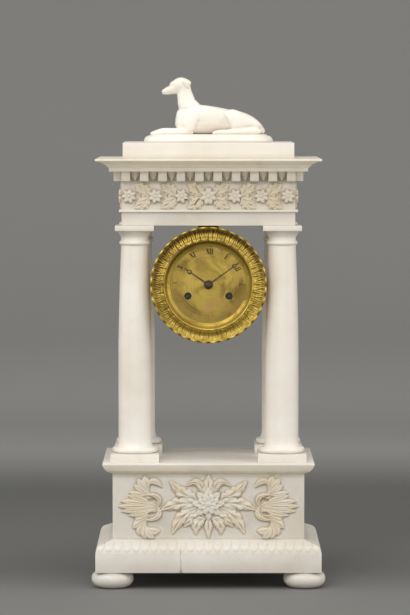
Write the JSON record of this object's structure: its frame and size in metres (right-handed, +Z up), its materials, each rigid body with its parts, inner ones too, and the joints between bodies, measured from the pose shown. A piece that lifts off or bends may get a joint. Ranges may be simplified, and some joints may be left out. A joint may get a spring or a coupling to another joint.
{
  "type": "portico clock",
  "caption": "Alabaster portico mantel clock: four turned columns carry a carved entablature with a reclining greyhound, and a gilt drum clock hangs between them.",
  "frame": {"origin": "on the floor under the middle of the clock", "axes": "+Z up, the dial faces -Y, +X to the right as seen from the front"},
  "size_m": [0.2304, 0.1752, 0.503],
  "materials": {
    "alabaster": "polished alabaster",
    "carved_stone": "carved, matt",
    "gilt_brass": "gilt, worn",
    "brass": "lacquered",
    "steel": "bright",
    "blued_steel": "blued",
    "iron": "dark",
    "dowel_wood": "raw"
  },
  "bodies": {
    "root": {"foot_front_left": "alabaster", "foot_front_right": "alabaster", "foot_rear_left": "alabaster", "foot_rear_right": "alabaster", "plinth": "alabaster", "die": "alabaster", "cap_slab": "alabaster", "column_plinths": "alabaster", "column_front_left": "alabaster", "column_front_right": "alabaster", "column_rear_left": "alabaster", "column_rear_right": "alabaster", "column_abaci": "alabaster", "architrave": "alabaster", "frieze": "alabaster", "dentil_course": "alabaster", "cornice": "alabaster", "attic_block": "alabaster", "greyhound_figure": "alabaster", "die_carving": "carved_stone", "frieze_garland_front": "carved_stone", "frieze_garland_sides": "carved_stone", "bezel": "gilt_brass", "dial": "gilt_brass", "bell": "gilt_brass", "drum_case": "brass", "drum_hanger": "brass", "rear_ring": "brass", "front_plate": "brass", "back_plate": "brass", "plate_pillars": "brass", "suspension_cock": "brass", "bell_stand": "steel", "tie_rods": "iron", "tie_rod_nuts": "iron", "hanger_nuts": "iron", "case_dowels": "dowel_wood"},
    "minute_hand_set": {"minute_hand": "blued_steel", "hand_nut": "blued_steel", "cannon_pinion": "brass"},
    "hour_hand_set": {"hour_hand": "blued_steel", "hour_wheel": "brass"},
    "minute_wheel_set": {"minute_wheel": "brass"},
    "going_barrel_set": {"going_barrel": "brass", "going_mainspring": "steel"},
    "going_arbor_set": {"going_arbor": "steel"},
    "intermediate_set": {"intermediate_wheel": "brass"},
    "centre_set": {"centre_wheel": "brass"},
    "third_set": {"third_wheel": "brass"},
    "escape_set": {"escape_wheel": "brass"},
    "pendulum_set": {"pallet_arbor": "steel", "pendulum": "brass"},
    "strike_barrel_set": {"strike_barrel": "brass", "strike_mainspring": "steel"},
    "strike_arbor_set": {"strike_arbor": "steel"},
    "strike_second_set": {"strike_second_wheel": "brass", "count_wheel": "brass"},
    "pin_wheel_set": {"pin_wheel": "brass"},
    "fly_set": {"fly": "brass"},
    "hammer_set": {"hammer": "steel"}
  },
  "joints": [
    {"name": "minute_hand_turn", "type": "hinge", "parent": "root", "child": "minute_hand_set", "pos_m": [0, -0.04, 0.2978], "axis": [0, 1, 0], "continuous": true},
    {"name": "hour_hand_turn", "type": "hinge", "parent": "root", "child": "hour_hand_set", "pos_m": [0, -0.04, 0.2978], "axis": [0, 1, 0], "continuous": true},
    {"name": "minute_wheel_turn", "type": "hinge", "parent": "root", "child": "minute_wheel_set", "pos_m": [0, -0.04, 0.3098], "axis": [0, 1, 0], "continuous": true},
    {"name": "escape_wheel_turn", "type": "hinge", "parent": "root", "child": "escape_set", "pos_m": [0, -0.04, 0.3178], "axis": [0, 1, 0], "continuous": true},
    {"name": "third_wheel_turn", "type": "hinge", "parent": "root", "child": "third_set", "pos_m": [-0.0074, -0.04, 0.3092], "axis": [0, 1, 0], "continuous": true},
    {"name": "centre_wheel_turn", "type": "hinge", "parent": "root", "child": "centre_set", "pos_m": [0, -0.04, 0.2978], "axis": [0, 1, 0], "continuous": true},
    {"name": "intermediate_wheel_turn", "type": "hinge", "parent": "root", "child": "intermediate_set", "pos_m": [0.014, -0.04, 0.3075], "axis": [0, 1, 0], "continuous": true},
    {"name": "going_barrel_turn", "type": "hinge", "parent": "root", "child": "going_barrel_set", "pos_m": [0.0202, -0.04, 0.2868], "axis": [0, 1, 0], "continuous": true},
    {"name": "fly_turn", "type": "hinge", "parent": "root", "child": "fly_set", "pos_m": [-0.0115, -0.04, 0.3215], "axis": [0, 1, 0], "continuous": true},
    {"name": "pin_wheel_turn", "type": "hinge", "parent": "root", "child": "pin_wheel_set", "pos_m": [-0.019, -0.04, 0.3173], "axis": [0, 1, 0], "continuous": true},
    {"name": "strike_second_turn", "type": "hinge", "parent": "root", "child": "strike_second_set", "pos_m": [-0.024, -0.04, 0.3085], "axis": [0, 1, 0], "continuous": true},
    {"name": "strike_barrel_turn", "type": "hinge", "parent": "root", "child": "strike_barrel_set", "pos_m": [-0.0202, -0.04, 0.2868], "axis": [0, 1, 0], "continuous": true},
    {"name": "going_winding", "type": "hinge", "parent": "root", "child": "going_arbor_set", "pos_m": [0.0202, -0.04, 0.2868], "axis": [0, 1, 0], "range_deg": [0, 1440]},
    {"name": "strike_winding", "type": "hinge", "parent": "root", "child": "strike_arbor_set", "pos_m": [-0.0202, -0.04, 0.2868], "axis": [0, 1, 0], "range_deg": [0, 1440]},
    {"name": "pendulum_swing", "type": "hinge", "parent": "root", "child": "pendulum_set", "pos_m": [0, -0.04, 0.3328], "axis": [0, 1, 0], "range_deg": [-4, 4]},
    {"name": "hammer_lift", "type": "hinge", "parent": "root", "child": "hammer_set", "pos_m": [-0.0295, -0.04, 0.3218], "axis": [0, 1, 0], "range_deg": [-1.5, 12]}
  ],
  "couplings": [
    {"joint": "minute_wheel_turn", "follows": "minute_hand_turn", "ratio": -0.33333},
    {"joint": "hour_hand_turn", "follows": "minute_hand_turn", "ratio": 0.083333},
    {"joint": "third_wheel_turn", "follows": "centre_wheel_turn", "ratio": -12},
    {"joint": "escape_wheel_turn", "follows": "centre_wheel_turn", "ratio": 150},
    {"joint": "intermediate_wheel_turn", "follows": "centre_wheel_turn", "ratio": -0.125},
    {"joint": "going_barrel_turn", "follows": "centre_wheel_turn", "ratio": 0.020833},
    {"joint": "pin_wheel_turn", "follows": "strike_second_turn", "ratio": -9.75},
    {"joint": "fly_turn", "follows": "strike_second_turn", "ratio": 97.5},
    {"joint": "strike_barrel_turn", "follows": "strike_second_turn", "ratio": -0.16667}
  ]
}
